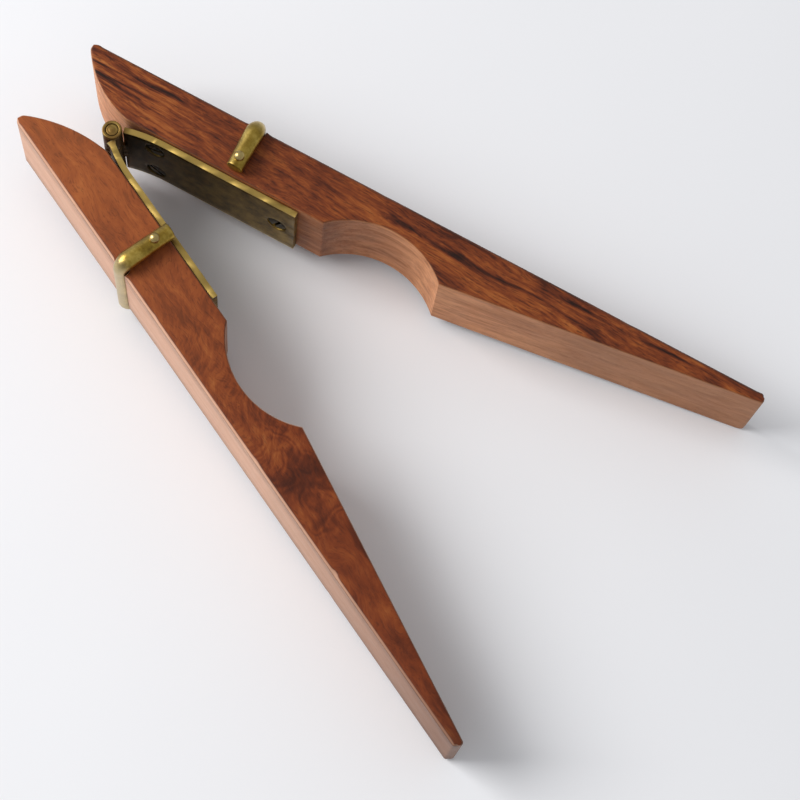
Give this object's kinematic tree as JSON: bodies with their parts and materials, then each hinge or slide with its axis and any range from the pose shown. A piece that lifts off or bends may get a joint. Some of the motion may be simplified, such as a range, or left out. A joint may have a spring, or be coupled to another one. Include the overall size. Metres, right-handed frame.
{
  "type": "nutcracker",
  "caption": "Hinged hand nutcracker: tapered hardwood levers with round notches, joined by a brass leaf hinge and braced by riveted brass yokes, shown part open on its side.",
  "frame": {"origin": "Centre of the underside of the bounding box: in the mirror plane of the two levers, level with the lowest rivet heads.", "axes": "+Z along the hinge pin, up as the nutcracker lies on its side; +X from the hinge towards the grip tips, along the middle of the opening; +Y towards the striped lever."},
  "size_m": [0.1948, 0.1222, 0.0368],
  "materials": {
    "reddish_rosewood": "oiled, satin",
    "striped_rosewood": "oiled, satin",
    "aged_brass_leaf": "aged, satin",
    "golden_brass_rod": "worn, semi-bright",
    "tarnished_brass_screw": "tarnished, satin"
  },
  "bodies": {
    "left_side": {"left_lever": "reddish_rosewood", "left_hinge_leaf": "aged_brass_leaf", "left_upper_knuckle": "aged_brass_leaf", "left_lower_knuckle": "aged_brass_leaf", "hinge_pin": "aged_brass_leaf", "left_upper_leaf_screw": "tarnished_brass_screw", "left_lower_leaf_screw": "tarnished_brass_screw", "left_end_leaf_screw": "tarnished_brass_screw", "left_yoke": "golden_brass_rod", "left_yoke_rivet": "golden_brass_rod"},
    "right_side": {"right_lever": "striped_rosewood", "right_hinge_leaf": "aged_brass_leaf", "right_middle_knuckle": "aged_brass_leaf", "right_upper_leaf_screw": "tarnished_brass_screw", "right_lower_leaf_screw": "tarnished_brass_screw", "right_end_leaf_screw": "tarnished_brass_screw", "right_yoke": "golden_brass_rod", "right_yoke_rivet": "golden_brass_rod"}
  },
  "joints": [
    {"name": "lever_hinge", "type": "hinge", "parent": "left_side", "child": "right_side", "pos_m": [-0.07696, 0, 0.0184], "axis": [0, 0, 1], "range_deg": [-31.8, 63.8]}
  ]
}
